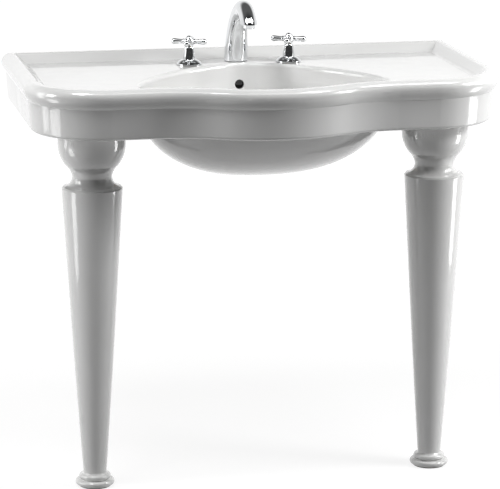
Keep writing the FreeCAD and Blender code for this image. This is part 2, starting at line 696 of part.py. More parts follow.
# ---- valves, made on the Z axis with the deck at zero
def escutcheon():
    """Thin domed flange with a rolled edge, open below."""
    edge = GASKET_T + FLANGE_EDGE
    foot = COLUMN_FOOT_R + 1
    mid = ((FLANGE_R + foot) / 2, GASKET_T + FLANGE_H * FLANGE_BELLY)
    inner_r = FLANGE_R - FLANGE_SKIN
    under = (mid[0] - FLANGE_SKIN / 3, mid[1] - FLANGE_SKIN)
    return turned(
        (CARTRIDGE_R + 1, GASKET_T + FLANGE_H), (foot, GASKET_T + FLANGE_H),
        (mid, (FLANGE_R - FLANGE_EDGE / 3, edge)), (FLANGE_R, edge - FLANGE_EDGE / 3),
        (FLANGE_R, GASKET_T), (inner_r, GASKET_T), (inner_r, edge - FLANGE_SKIN / 2),
        (under, (foot, GASKET_T + FLANGE_H - FLANGE_SKIN)),
        (CARTRIDGE_R + 1, GASKET_T + FLANGE_H - FLANGE_SKIN))


def column():
    """Tapered sleeve from the flange up to the handle."""
    low = GASKET_T + FLANGE_H
    shoulder = COLUMN_TOP - (COLUMN_TOP_R - COLUMN_MOUTH_R)
    mid = on_circle((COLUMN_MOUTH_R, shoulder), COLUMN_TOP_R - COLUMN_MOUTH_R, 45)
    bore_top = COLUMN_TOP_R - COLUMN_SKIN
    return turned(
        (COLUMN_FOOT_R - COLUMN_SKIN, low), (COLUMN_FOOT_R, low),
        (COLUMN_TOP_R, shoulder), (mid, (COLUMN_MOUTH_R, COLUMN_TOP)),
        (SPINDLE_R + RUN_GAP * 2, COLUMN_TOP),
        (SPINDLE_R + RUN_GAP * 2, COLUMN_TOP - COLUMN_SKIN), (bore_top, shoulder - COLUMN_SKIN))


def valve_body():
    """Brass body: collar on the deck, barrel, inlet tube inside it and male inlet tail."""
    step = -VALVE_BELOW + TAIL_L
    chamber = VALVE_TOP - CARTRIDGE_L
    floor = -LINK_DROP - PORT_BORE_R - OUTLET_FLOOR
    seal = CARTRIDGE_R + CARTRIDGE_FIT
    return turned(
        (seal, VALVE_TOP), (VALVE_R, VALVE_TOP), (VALVE_R, GASKET_T + COLLAR_T),
        (COLLAR_R, GASKET_T + COLLAR_T), (COLLAR_R, GASKET_T), (VALVE_R, GASKET_T),
        (VALVE_R, step + 2), (VALVE_R - 1, step), (TAIL_R, step), (TAIL_R, -VALVE_BELOW),
        (INLET_BORE_R, -VALVE_BELOW), (INLET_BORE_R, chamber), (INLET_TUBE_R, chamber),
        (INLET_TUBE_R, floor), (OUTLET_R, floor), (OUTLET_R, VALVE_TOP - SEAL_L - 2),
        (seal, VALVE_TOP - SEAL_L))


def valve_port(side):
    """Side port of a valve body, on the line to the spout, in the basin's place."""
    end = link_length()
    port = along_link(rod(PORT_R, end - PORT_REACH, end - OUTLET_R), side)
    way = along_link(rod(PORT_BORE_R, end - PORT_REACH - 1, end - INLET_TUBE_R), side)
    seat = along_link(rod(LINK_R + ROD_FIT, end - PORT_REACH - 1, end - PORT_REACH + LINK_IN), side)
    return port, way, seat


def headwork():
    """Screw-in valve head: a gland round the spindle, a chamber for the discs, two windows."""
    low = VALVE_TOP - CARTRIDGE_L
    flange_top = VALVE_TOP + CARTRIDGE_HEX_T
    bore = SPINDLE_R + SPINDLE_FIT
    barrel = turned(
        (bore, low + CHAMBER_L), (CHAMBER_R, low + CHAMBER_L), (CHAMBER_R, low),
        (CARTRIDGE_R, low), (CARTRIDGE_R, flange_top), (GLAND_R, flange_top),
        (GLAND_R, GLAND_TOP), (bore, GLAND_TOP))
    hexagon = hex_bar(CARTRIDGE_AF, VALVE_TOP, flange_top).cut(
        rod(SPINDLE_R + CARTRIDGE_FIT + SPINDLE_FIT, VALVE_TOP - 1, flange_top + 1))
    sill = low + DISC_T + WINDOW_GAP
    window = Part.makeBox(4 * CARTRIDGE_R, WINDOW_W, low + CHAMBER_L - WINDOW_GAP - sill,
                          V(-2 * CARTRIDGE_R, -WINDOW_W / 2, sill))
    return barrel.fuse(hexagon).cut(window)


def disc(low):
    holes = [at(rod(DISC_HOLE_R, low - 1, low + DISC_T + 1), s * DISC_R / 2) for s in (1, -1)]
    return rod(DISC_R, low, low + DISC_T).cut(Part.makeCompound(holes))


def spindle(low):
    """Spindle with the driving foot above the moving disc and a tapped top for the screw."""
    top = HUB_H - RUN_GAP
    body = turned(
        (0, low), (SPINDLE_FOOT_R, low), (SPINDLE_FOOT_R, low + SPINDLE_FOOT_T),
        (SPINDLE_R, low + SPINDLE_FOOT_T), (SPINDLE_R, top), (0, top))
    return body.cut(rod(SCREW_R + SPINDLE_FIT, top - SCREW_L, top + 1))


def arm():
    """Club-shaped arm with a collar at the hub and a rounded end, along Z."""
    collar = HUB_R
    end = ARM_SPAN / 2
    swell = end - ARM_END_R
    return turned(
        (0, ARM_ROOT_R), (ARM_COLLAR_R, ARM_ROOT_R), (ARM_COLLAR_R, collar + ARM_COLLAR_T),
        (ARM_NECK_R, collar + 2 * ARM_COLLAR_T), (ARM_END_R, swell),
        (on_circle((0, swell), ARM_END_R, 45), (0, end)))


def cross_handle():
    """Ball hub with four arms, bored for the spindle and recessed for screw and cap."""
    low = COLUMN_TOP + RUN_GAP * 2 - HUB_H
    seat = CAP_SEAT
    ball_foot = math.sqrt(HUB_R ** 2 - low ** 2)
    ball_top = math.sqrt(HUB_R ** 2 - seat ** 2)
    hub = turned((0, low), (ball_foot, low), ((HUB_R, 0), (ball_top, seat)), (0, seat))
    across = arm()
    across.rotate(V(0, 0, 0), V(0, 1, 0), 90)
    arms = [turned_about_z(across, k * 360 / ARM_COUNT) for k in range(ARM_COUNT)]
    bore = rod(SPINDLE_R + SPINDLE_FIT, low - 1, 0)
    screw_way = rod(SCREW_R + SPINDLE_FIT, -1, seat + 1)
    head_way = rod(SCREW_HEAD_R + ROD_FIT, RUN_GAP * 5, seat + 1)
    body = hub.multiFuse(arms).cut(Part.makeCompound([bore, head_way])).cut(screw_way)
    return turned_about_z(body, HANDLE_TURN)


def handle_cap():
    rise = CAP_H
    radius = (CAP_R ** 2 + rise ** 2) / (2 * rise)
    top = CAP_SEAT + rise
    half_angle = math.degrees(math.asin(CAP_R / radius)) / 2
    side = on_circle((0, top - radius), radius, 90 - half_angle)
    return turned((0, CAP_SEAT), (CAP_R, CAP_SEAT), (side, (0, top)))


def handle_screw():
    seat = RUN_GAP * 5
    shank = rod(SCREW_R, -SCREW_L + 1, seat)
    return shank.fuse(rod(SCREW_HEAD_R, seat, seat + SCREW_HEAD_T))


def valve_set(name, side):
    x = side * TAP_X
    y = TAP_AXIS_Y
    disc_low = VALVE_TOP - CARTRIDGE_L
    moving_low = disc_low + DISC_T + RUN_GAP
    spindle_low = moving_low + DISC_T
    nut_top = -DECK_T - RUBBER_T
    arms_z = DECK + HUB_H
    port, way, seat = valve_port(side)
    body = at(valve_body(), x, y, DECK).fuse(port).cut(Part.makeCompound([way, seat]))
    bore = VALVE_R + ROD_FIT
    save(name + "_valve_body", body)
    save(name + "_escutcheon", at(escutcheon(), x, y, DECK))
    save(name + "_column", at(column(), x, y, DECK))
    save(name + "_deck_gasket", at(ring(COLLAR_R, TAP_HOLE_R, 0, GASKET_T), x, y, DECK))
    save(name + "_rubber_washer", at(ring(VALVE_WASHER_R, bore, nut_top, -DECK_T), x, y, DECK))
    save(name + "_back_nut", at(
        hex_nut(VALVE_NUT_AF, bore, nut_top - VALVE_NUT_T, nut_top), x, y, DECK))
    save(name + "_headwork", at(headwork(), x, y, DECK))
    save(name + "_fixed_disc", at(disc(disc_low), x, y, DECK))
    save(name + "_moving_disc", at(turned_about_z(disc(moving_low), 90), x, y, DECK))
    save(name + "_spindle", at(spindle(spindle_low), x, y, DECK))
    save(name + "_cross_handle", at(cross_handle(), x, y, arms_z))
    save(name + "_handle_cap", at(handle_cap(), x, y, arms_z))
    save(name + "_handle_screw", at(handle_screw(), x, y, arms_z))


def build():
    os.makedirs("parts", exist_ok=True)
    casting = basin()
    seat = leg_seat(casting)
    save("basin", casting)
    save("right_leg_seat", seat)
    save("left_leg_seat", mirrored(seat))
    leg_set("left", -LEG_X)
    leg_set("right", LEG_X)
    leg_fixings()
    spout_set()
    link_set()
    valve_set("hot", -1)
    valve_set("cold", 1)


if __name__ == "__main__":
    build()
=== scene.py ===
# %% [markdown]
# # A console sink on two ceramic legs
#
# The real object is one large glazed casting, the basin, on two hollow turned legs of the
# same ware. On its deck stand two cross-handle valves and a swan-neck spout, all chromed.
# Every shape that carries, seats or moves comes from the fixed frame, and this lesson gives
# it its finishes, adds the small things that the frame leaves plain, and lights it.

import json
import math

import bmesh
import bpy
from mathutils import Matrix, Vector


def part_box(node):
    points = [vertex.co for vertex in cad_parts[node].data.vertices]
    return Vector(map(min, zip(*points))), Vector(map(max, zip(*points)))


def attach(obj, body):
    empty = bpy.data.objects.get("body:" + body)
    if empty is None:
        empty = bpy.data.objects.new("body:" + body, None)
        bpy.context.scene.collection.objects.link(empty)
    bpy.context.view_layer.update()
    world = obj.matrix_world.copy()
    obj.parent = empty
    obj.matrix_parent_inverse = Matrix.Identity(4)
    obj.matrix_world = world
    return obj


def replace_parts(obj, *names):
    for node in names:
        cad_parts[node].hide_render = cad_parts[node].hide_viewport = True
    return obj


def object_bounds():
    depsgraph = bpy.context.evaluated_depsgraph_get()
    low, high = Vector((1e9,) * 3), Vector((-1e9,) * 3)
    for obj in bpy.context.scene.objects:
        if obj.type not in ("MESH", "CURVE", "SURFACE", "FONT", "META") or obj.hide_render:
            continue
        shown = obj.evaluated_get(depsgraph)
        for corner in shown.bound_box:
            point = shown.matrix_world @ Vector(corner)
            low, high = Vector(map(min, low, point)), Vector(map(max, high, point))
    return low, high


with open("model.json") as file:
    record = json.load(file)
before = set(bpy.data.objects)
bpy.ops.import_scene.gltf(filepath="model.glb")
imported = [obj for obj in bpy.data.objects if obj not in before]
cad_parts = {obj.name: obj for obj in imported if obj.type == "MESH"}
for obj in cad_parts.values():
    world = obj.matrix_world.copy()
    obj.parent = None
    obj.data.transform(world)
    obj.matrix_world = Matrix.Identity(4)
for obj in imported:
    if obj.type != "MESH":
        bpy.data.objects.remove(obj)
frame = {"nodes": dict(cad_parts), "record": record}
cad_low, cad_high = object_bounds()
nodes = frame["nodes"]
MM = 0.001
print("pieces in the frame:", len(nodes), " size:", [round(s, 3) for s in cad_high - cad_low])

# %% [markdown]
# ## The camera
#
# The view was found by fitting a perspective to the legs, the rim, the tap flanges and the
# overflow hole. It is a long lens from the left front, a little above the rim, so verticals
# stay almost upright. A camera looks along its own -Z, so it is turned to its target first
# and then rolled about that axis.

# %% Camera
PICTURE_WIDTH = 500           # the frame of the picture, in pixels
FOCAL_LENGTH_PX = 2730.3
SENSOR_WIDTH = 36.0           # in millimetres, as Blender's lens is
AZIMUTH = math.radians(-11.97)
ELEVATION = math.radians(13.07)
ROLL = math.radians(0.20)
TARGET = Vector((-0.0082, 0.0095, 0.4365))
DISTANCE = 5.3174


def turned_to(way):
    """The turn that points an object's own -Z along a way."""
    return way.to_track_quat("-Z", "Y").to_matrix().to_4x4()


back = Vector((math.sin(AZIMUTH) * math.cos(ELEVATION),
               -math.cos(AZIMUTH) * math.cos(ELEVATION),
               math.sin(ELEVATION)))
camera_data = bpy.data.cameras.new("camera")
camera_data.sensor_width = SENSOR_WIDTH
camera_data.lens = FOCAL_LENGTH_PX * SENSOR_WIDTH / PICTURE_WIDTH
camera = bpy.data.objects.new("camera", camera_data)
camera.matrix_world = (Matrix.Translation(TARGET + back * DISTANCE) @ turned_to(-back)
                       @ Matrix.Rotation(ROLL, 4, "Z"))
bpy.context.scene.collection.objects.link(camera)
bpy.context.scene.camera = camera
print("camera stands at", [round(c, 3) for c in camera.location], "with a lens of",
      round(camera_data.lens, 1), "mm")

# %% [markdown]
# ## Node helpers
#
# A material or a room is a tree of nodes. Three small helpers write most of it: one feeds a
# socket, one does a sum, and one turns a number that runs between two limits into another.
# The fourth tells whether the camera or a mirror looks at a surface, or only light in the
# room falls on it. With it the floor and the room can be seen white and still light little.

# %% Node helpers


def feed(tree, socket, value):
    """Links another node's output to a socket, or gives it a colour or a number."""
    if isinstance(value, bpy.types.NodeSocket):
        tree.links.new(value, socket)
    elif isinstance(value, tuple):
        socket.default_value = (*value, 1)
    else:
        socket.default_value = value


def math_node(tree, operation, first, second=None):
    """A sum on one value or two."""
    node = tree.nodes.new("ShaderNodeMath")
    node.operation = operation
    feed(tree, node.inputs[0], first)
    if second is not None:
        feed(tree, node.inputs[1], second)
    return node.outputs[0]


def smooth_step(tree, value, low, high, start, end):
    """Eases from start to end while the value goes from low to high."""
    node = tree.nodes.new("ShaderNodeMapRange")
    node.interpolation_type = "SMOOTHSTEP"
    limits = {"From Min": low, "From Max": high, "To Min": start, "To Max": end}
    for name, number in limits.items():
        node.inputs[name].default_value = number
    tree.links.new(value, node.inputs["Value"])
    return node.outputs["Result"]


def seen_directly(tree):
    """1 where the camera, a mirror or clear glass looks, and 0 for light in the room."""
    path = tree.nodes.new("ShaderNodeLightPath")
    total = path.outputs["Is Camera Ray"]
    for name in ("Is Glossy Ray", "Is Transmission Ray"):
        total = math_node(tree, "MAXIMUM", total, path.outputs[name])
    return total


print("node helpers ready, such as", smooth_step.__name__, "and", seen_directly.__name__)

# %% [markdown]
# ## Floor and background
#
# The object stands on seamless white paper. The floor is a large plane whose own colour is
# a dark grey, so that it throws little light up at the apron and the bowl. For the camera
# and for mirror reflections it adds a glow, which makes it read as white paper. The glow is
# weaker near the object, so the soft shadow round the feet stays, and full further out.

# %% Floor
FLOOR_HALF = 7.0
FLOOR_TONE = 0.22
FLOOR_ROUGHNESS = 0.9
GLOW_NEAR = 0.84
GLOW_FAR = 1.0
GLOW_REACH = (0.6, 2.0)       # the glow rises between these distances from the middle


def paper():
    material = bpy.data.materials.new("white_paper")
    material.use_nodes = True
    tree = material.node_tree
    shader = tree.nodes["Principled BSDF"]
    shader.inputs["Base Color"].default_value = (FLOOR_TONE, FLOOR_TONE, FLOOR_TONE, 1)
    shader.inputs["Roughness"].default_value = FLOOR_ROUGHNESS
    shader.inputs["Emission Color"].default_value = (1, 1, 1, 1)
    reach = tree.nodes.new("ShaderNodeVectorMath")
    reach.operation = "LENGTH"
    tree.links.new(tree.nodes.new("ShaderNodeTexCoord").outputs["Object"], reach.inputs[0])
    glow = smooth_step(tree, reach.outputs["Value"], *GLOW_REACH, GLOW_NEAR, GLOW_FAR)
    tree.links.new(math_node(tree, "MULTIPLY", seen_directly(tree), glow),
                   shader.inputs["Emission Strength"])
    return material


sheet = bmesh.new()
bmesh.ops.create_grid(sheet, x_segments=1, y_segments=1, size=FLOOR_HALF)
floor_data = bpy.data.meshes.new("floor")
sheet.to_mesh(floor_data)
sheet.free()
floor = bpy.data.objects.new("floor", floor_data)
floor.data.materials.append(paper())
bpy.context.scene.collection.objects.link(floor)
print("floor spans", 2 * FLOOR_HALF, "m")

# %% [markdown]
# ## The room
#
# Glazed ware and chrome are drawn by what they reflect. Mirrors see the white backdrop
# behind the object and a dark room on the viewer's side, which gives chrome its dark bands
# and keeps the apron's face quiet. The camera sees white all round. What falls on matt
# surfaces is a weak glow from the backdrop alone, because the lamps do the lighting. The
# edges are parts of a direction: its Y runs from -1 at the viewer's side to 1 behind the
# object, and its Z from -1 underfoot to 1 overhead.

# %% Room
ROOM_FRONT = 0.05             # what a mirror sees on the viewer's side
ROOM_ABOVE = 0.12             # and overhead, past the backdrop's upper edge
BACKDROP_GLOW = 0.25          # light on matt surfaces from behind
BACKDROP_EDGE = (-0.35, 0.25)  # in Y, from the dark room to the backdrop in a mirror
CEILING_EDGE = (0.35, 0.7)    # in Z, from the backdrop to overhead in a mirror
GLOW_EDGE = (0.1, 0.8)        # in Y, where the glow on matt surfaces rises

world = bpy.data.worlds.new("studio")
bpy.context.scene.world = world
world.use_nodes = True
tree = world.node_tree
split = tree.nodes.new("ShaderNodeSeparateXYZ")
tree.links.new(tree.nodes.new("ShaderNodeTexCoord").outputs["Generated"], split.inputs[0])
behind, overhead = split.outputs["Y"], split.outputs["Z"]
backdrop = smooth_step(tree, behind, *BACKDROP_EDGE, ROOM_FRONT, 1.0)
below_ceiling = smooth_step(tree, overhead, *CEILING_EDGE, 1.0, ROOM_ABOVE)
mirrored = math_node(tree, "MULTIPLY", backdrop, below_ceiling)
camera_ray = tree.nodes.new("ShaderNodeLightPath").outputs["Is Camera Ray"]
seen = seen_directly(tree)
seen_room = math_node(tree, "MULTIPLY", seen, math_node(tree, "MAXIMUM", mirrored, camera_ray))
unseen = math_node(tree, "SUBTRACT", 1.0, seen)
glow = smooth_step(tree, behind, *GLOW_EDGE, 0.0, BACKDROP_GLOW)
unseen_room = math_node(tree, "MULTIPLY", unseen, glow)
background = tree.nodes["Background"]
background.inputs["Color"].default_value = (1, 1, 1, 1)
tree.links.new(math_node(tree, "MAXIMUM", seen_room, unseen_room), background.inputs["Strength"])
print("room: mirrors see", ROOM_FRONT, "in front, and", BACKDROP_GLOW, "lights from behind")

# %% [markdown]
# ## The lamps
#
# Three soft boxes hang high in front and light the deck and both sides of the bowl. A small
# one at the right, a little in front and above the rim, is the key: it rounds the bulge and
# the legs and throws the taps' thin shadows to the left. Its fellow is lower and further
# back. At the left a large box and a weak tall one draw the bright left edges. A small box
# stands low at each side for the legs and feet. Each is an area lamp, aimed at a point by
# turning its -Z to it.

# %% Soft boxes
# Each row has a name, a place, the point it is aimed at, a width, a height and its watts.
SOFT_BOXES = (
    ("overhead_box", (0.0, -0.65, 2.5), (0.0, 0.0, 0.7), 1.4, 0.5, 4.5),
    ("high_left_box", (-0.9, -0.45, 2.3), (0.0, 0.0, 0.7), 0.5, 0.5, 15),
    ("high_right_box", (0.9, -0.45, 2.3), (0.0, 0.0, 0.7), 0.5, 0.5, 8),
    ("right_key", (1.5, -0.65, 1.45), (0.0, -0.1, 0.7), 0.4, 0.4, 13.5),
    ("right_box", (1.6, -0.25, 1.1), (0.0, -0.1, 0.6), 0.4, 0.4, 4.5),
    ("right_low_box", (1.25, -0.35, 0.3), (0.33, -0.09, 0.2), 0.3, 0.4, 2.4),
    ("left_box", (-2.3, -0.2, 1.3), (0.0, 0.0, 0.6), 0.5, 0.9, 10),
    ("left_strip", (-1.9, 0.35, 0.8), (0.0, 0.0, 0.4), 0.4, 1.2, 4),
    ("left_low_box", (-1.25, -0.2, 0.3), (-0.33, -0.09, 0.2), 0.3, 0.4, 1.4),
)

for name, place, aim, width, height, watts in SOFT_BOXES:
    lamp_data = bpy.data.lights.new(name, "AREA")
    lamp_data.shape = "RECTANGLE"
    lamp_data.size = width
    lamp_data.size_y = height
    lamp_data.energy = watts
    lamp = bpy.data.objects.new(name, lamp_data)
    lamp.matrix_world = Matrix.Translation(Vector(place)) @ turned_to(Vector(aim) - Vector(place))
    bpy.context.scene.collection.objects.link(lamp)

# %% [markdown]
# ## How a finish is made
#
# Every finish starts from Blender's Principled shader. Its variation comes from noise on
# Object coordinates, which are metres in the frame, so a pattern keeps its real scale on
# every piece. These helpers make a blank finish, a noise, a colour spread over a noise, a
# number spread over a noise, a bump in real metres, and mixes of colours and of numbers.

# %% A blank finish and its noise
NOISE_LOW, NOISE_HIGH = 0.35, 0.65   # most of a noise lies between these


def blank(name, **settings):
    """A material, its tree, its shader and the Object coordinates in it."""
    material = bpy.data.materials.new(name)
    material.use_nodes = True
    tree = material.node_tree
    shader = tree.nodes["Principled BSDF"]
    for socket, value in settings.items():
        shader.inputs[socket.replace("_", " ")].default_value = value
    where = tree.nodes.new("ShaderNodeTexCoord").outputs["Object"]
    return material, tree, shader, where


def noise(tree, where, scale, detail, stretch=None):
    """A cloudy pattern of so many patches a metre, squeezed along each axis by stretch."""
    if stretch:
        mapping = tree.nodes.new("ShaderNodeMapping")
        mapping.inputs["Scale"].default_value = stretch
        tree.links.new(where, mapping.inputs["Vector"])
        where = mapping.outputs["Vector"]
    node = tree.nodes.new("ShaderNodeTexNoise")
    node.inputs["Scale"].default_value = scale
    node.inputs["Detail"].default_value = detail
    tree.links.new(where, node.inputs["Vector"])
    return node.outputs["Fac"]


def spread_colour(tree, value, dark, light):
    node = tree.nodes.new("ShaderNodeValToRGB")
    stops = node.color_ramp.elements
    for stop, position, colour in ((stops[0], NOISE_LOW, dark), (stops[1], NOISE_HIGH, light)):
        stop.position = position
        stop.color = (*colour, 1)
    tree.links.new(value, node.inputs["Fac"])
    return node.outputs["Color"]


def spread_number(tree, value, low, high):
    return smooth_step(tree, value, NOISE_LOW, NOISE_HIGH, low, high)


print("a noise spreads from", NOISE_LOW, "to", NOISE_HIGH)

# %% Bumps and mixes
COLOUR_SOCKETS = ("RGBA", 6, 7, 2)   # a Mix node's type, first and second input, and output
NUMBER_SOCKETS = ("FLOAT", 2, 3, 0)


def bump(tree, shader, height, distance, strength, below=None):
    """Raises a shader's surface by a height from 0 to 1, over another bump if there is one."""
    node = tree.nodes.new("ShaderNodeBump")
    node.inputs["Distance"].default_value = distance
    node.inputs["Strength"].default_value = strength
    tree.links.new(height, node.inputs["Height"])
    if below:
        tree.links.new(below, node.inputs["Normal"])
    tree.links.new(node.outputs["Normal"], shader.inputs["Normal"])
    return node.outputs["Normal"]


def mixed(tree, sockets, share, first, second):
    """The first value where the share is 0 and the second where it is 1."""
    kind, one, other, result = sockets
    node = tree.nodes.new("ShaderNodeMix")
    node.data_type = kind
    tree.links.new(share, node.inputs["Factor"])
    feed(tree, node.inputs[one], first)
    feed(tree, node.inputs[other], second)
    return node.outputs[result]


print("mixes:", COLOUR_SOCKETS[0], NUMBER_SOCKETS[0])

# %% [markdown]
# ## White glaze
#
# Sanitary ware is fired clay under a clear white glaze. The glaze pools a little, so its
# reflections wander gently and its tone is not quite even, and close up it has the fine
# skin of an orange. A coat over a softer base gives both. Where the ware was wiped clean
# before firing, on its flat back and under the feet, the clay shows matt and cream. The
# overflow's hole and the duct wall behind it are painted near black, as painted shade.

# %% The overflow's painted shade
# the near black painted in the overflow's hole and duct, as painted shade
PAINTED_DUCT_SHADE = (0.012, 0.012, 0.012)
DUCT_FADE = 1.5 * MM          # how far in the hole takes to turn dark
OVERFLOW_Z = 0.728            # height of the overflow hole's middle
# The painted shade is two discs behind each other: a radius, and where each starts and ends in y.
OVERFLOW_SHADE_DISCS = ((0.0097, 0.1565, 0.1700), (0.0220, 0.1640, 0.1705))


def overflow_shade(tree, split):
    """1 inside the overflow hole and on the wall of the duct behind it, where shade is painted.
    """
    across, deep = split.outputs["X"], split.outputs["Y"]
    rise = math_node(tree, "SUBTRACT", split.outputs["Z"], OVERFLOW_Z)
    squares = [math_node(tree, "MULTIPLY", way, way) for way in (across, rise)]
    from_axis = math_node(tree, "SQRT", math_node(tree, "ADD", *squares))
    discs = []
    for radius, first, last in OVERFLOW_SHADE_DISCS:
        near = math_node(tree, "LESS_THAN", from_axis, radius)
        inside = smooth_step(tree, deep, first, first + DUCT_FADE, 0, 1)
        kept = math_node(tree, "LESS_THAN", deep, last)
        discs.append(math_node(tree, "MULTIPLY", near, math_node(tree, "MULTIPLY", inside, kept)))
    return math_node(tree, "MAXIMUM", *discs)


print("overflow hole at z", OVERFLOW_Z)

# %% Glaze
# Each noise here is a scale, in patches a metre, and a detail.
GLAZE_DARK, GLAZE_LIGHT = (0.835, 0.835, 0.825), (0.875, 0.875, 0.870)
GLAZE_NOISE = (5, 2)
BASE_ROUGHNESS, BASE_NOISE = (0.16, 0.26), (14, 3)
WANDER, WANDER_STRENGTH, WANDER_NOISE = 1.2 * MM, 0.25, (11, 1)
SKIN, SKIN_STRENGTH, SKIN_NOISE = 0.02 * MM, 0.35, (420, 2)
CLAY_DARK, CLAY_LIGHT = (0.78, 0.74, 0.66), (0.8424, 0.7992, 0.7128)
CLAY_NOISE = (90, 4)
CLAY_ROUGHNESS = 0.85
WIPED = 0.8 * MM              # how far in from a wiped face the clay shows
WIPED_NOISE = (60, 3)


def glaze(name, axis, face, towards):
    """White glaze, wiped off where the ware nears a flat face that looks along an axis, with
    painted shade in the overflow's hole.
    """
    material, tree, shader, where = blank(name, Coat_Weight=1.0, Coat_Roughness=0.02,
                                          Coat_IOR=1.5, IOR=1.5)
    split = tree.nodes.new("ShaderNodeSeparateXYZ")
    tree.links.new(where, split.inputs[0])
    ragged = math_node(tree, "MULTIPLY", noise(tree, where, *WIPED_NOISE), WIPED)
    along = math_node(tree, "MULTIPLY", split.outputs[axis], towards)
    along = math_node(tree, "ADD", along, ragged)
    bare = smooth_step(tree, along, face * towards - WIPED, face * towards, 0, 1)
    pooled = spread_colour(tree, noise(tree, where, *GLAZE_NOISE), GLAZE_DARK, GLAZE_LIGHT)
    clay = spread_colour(tree, noise(tree, where, *CLAY_NOISE), CLAY_DARK, CLAY_LIGHT)
    ware = mixed(tree, COLOUR_SOCKETS, bare, pooled, clay)
    # the overflow's hole and duct wall get near black here: painted shade
    ware = mixed(tree, COLOUR_SOCKETS, overflow_shade(tree, split), ware, PAINTED_DUCT_SHADE)
    tree.links.new(ware, shader.inputs["Base Color"])
    base = spread_number(tree, noise(tree, where, *BASE_NOISE), *BASE_ROUGHNESS)
    tree.links.new(mixed(tree, NUMBER_SOCKETS, bare, base, CLAY_ROUGHNESS),
                   shader.inputs["Roughness"])
    wander = bump(tree, shader, noise(tree, where, *WANDER_NOISE), WANDER, WANDER_STRENGTH)
    skin = bump(tree, shader, noise(tree, where, *SKIN_NOISE), SKIN, SKIN_STRENGTH, wander)
    tree.links.new(skin, shader.inputs["Coat Normal"])
    return material


basin_glaze = glaze("basin_glaze", "Y", cad_high.y, 1)
leg_glaze = glaze("leg_glaze", "Z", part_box("left_leg")[0].z, -1)
print("glaze wiped at y", round(cad_high.y, 4), "and under the legs")

# %% [markdown]
# ## Chrome, brass, steel, rubber and the rest
#
# Bright chrome is a nearly perfect mirror, dulled here and there by dried water, so its
# roughness varies instead of its colour. The brass under the deck is turned and left bare:
# fine rings round it, and a tarnish that comes and goes. The fixings are zinc plated steel,
# cloudy and a little blue. Rubber, plastic and the lapped discs have a fine moulded grain.
# All of them are the same three steps, tone, roughness and relief, with their own numbers.

# %% Metal finishes


def finish(name, tones, tone_noise, rough, rough_noise, relief, strength, relief_noise,
           **settings):
    """A finish whose tone, roughness and relief each follow a noise."""
    material, tree, shader, where = blank(name, **settings)
    tree.links.new(spread_colour(tree, noise(tree, where, *tone_noise), *tones),
                   shader.inputs["Base Color"])
    tree.links.new(spread_number(tree, noise(tree, where, *rough_noise), *rough),
                   shader.inputs["Roughness"])
    bump(tree, shader, noise(tree, where, *relief_noise), relief, strength)
    return material


polished_chrome = finish(
    "polished_chrome", Metallic=1.0,
    tones=((0.72, 0.73, 0.74), (0.80, 0.81, 0.82)), tone_noise=(30, 2),
    rough=(0.025, 0.075), rough_noise=(160, 4),
    relief=0.1 * MM, strength=0.12, relief_noise=(90, 2))
turned_brass = finish(
    "turned_brass", Metallic=1.0,
    tones=((0.50, 0.33, 0.13), (0.76, 0.56, 0.27)), tone_noise=(70, 4),
    rough=(0.24, 0.42), rough_noise=(120, 3),
    relief=0.1 * MM, strength=0.5, relief_noise=(60, 2, (1, 1, 40)))
zinc_steel = finish(
    "zinc_steel", Metallic=1.0,
    tones=((0.50, 0.52, 0.55), (0.66, 0.67, 0.68)), tone_noise=(240, 5),
    rough=(0.26, 0.42), rough_noise=(240, 5),
    relief=0.04 * MM, strength=0.4, relief_noise=(900, 3))
print("metals:", polished_chrome.name, turned_brass.name, zinc_steel.name)

# %% Rubber, plastic and disc finishes
MOULDED_SPREAD = 0.08         # how far the roughness strays either way


def moulded(name, dark, light, rough, grain):
    """Matt moulded stuff: an uneven tone and a fine grain."""
    return finish(name, IOR=1.5, tones=(dark, light), tone_noise=(50, 4),
                  rough=(rough - MOULDED_SPREAD, rough + MOULDED_SPREAD), rough_noise=(300, 3),
                  relief=0.08 * MM, strength=0.4, relief_noise=(grain, 3))


black_rubber = moulded("black_rubber", (0.018, 0.018, 0.018), (0.034, 0.034, 0.033), 0.72, 1400)
grey_rubber = moulded("grey_rubber", (0.30, 0.30, 0.29), (0.38, 0.38, 0.37), 0.66, 1400)
lapped_ceramic = moulded("lapped_ceramic", (0.76, 0.75, 0.71), (0.84, 0.83, 0.80), 0.25, 2400)
grey_plastic = moulded("grey_plastic", (0.20, 0.20, 0.21), (0.26, 0.26, 0.27), 0.48, 2000)
print("moulded:", black_rubber.name, grey_rubber.name, lapped_ceramic.name, grey_plastic.name)

# %% [markdown]
# ## Dressing the frame
#
# The record gives each node a material slot. Each slot has one finish here, and the finish
# replaces whatever the node came with. The legs are wiped under their feet and the basin
# on its back, so they have a glaze each. The leg seats are part of the basin's ware, so
# they take the basin's.

# %% Dress the nodes
FINISHES = {
    "chrome": polished_chrome,
    "brass": turned_brass,
    "steel": zinc_steel,
    "rubber": black_rubber,
    "foot": grey_rubber,
    "disc": lapped_ceramic,
    "insert": grey_plastic,
}


def finish_of(node, slot):
    if slot != "glaze":
        return FINISHES[slot]
    return leg_glaze if node.endswith("_leg") else basin_glaze


for part in frame["record"]["subparts"]:
    materials = nodes[part["node"]].data.materials
    materials.clear()
    materials.append(finish_of(part["node"], part["material_slot"]))
print("dressed", len(nodes), "nodes in", len(FINISHES) + 2, "finishes")

# %% [markdown]
# ## Threads
#
# A thread is a small ridge wound round a bar. A triangle is drawn beside the bar and spun
# about its axis while it climbs one pitch a turn, which is what a lathe does. The two open
# ends are then filled. Each thread stands where the bar is bare, clear of its nuts.

# %% Thread maker
THREAD_STEPS = 28             # faces in one turn
RIDGE_WIDTH = 0.9             # of a ridge at its foot, in pitches
RIDGE_ROOT = 0.25             # how far its foot sinks into the bar, in depths


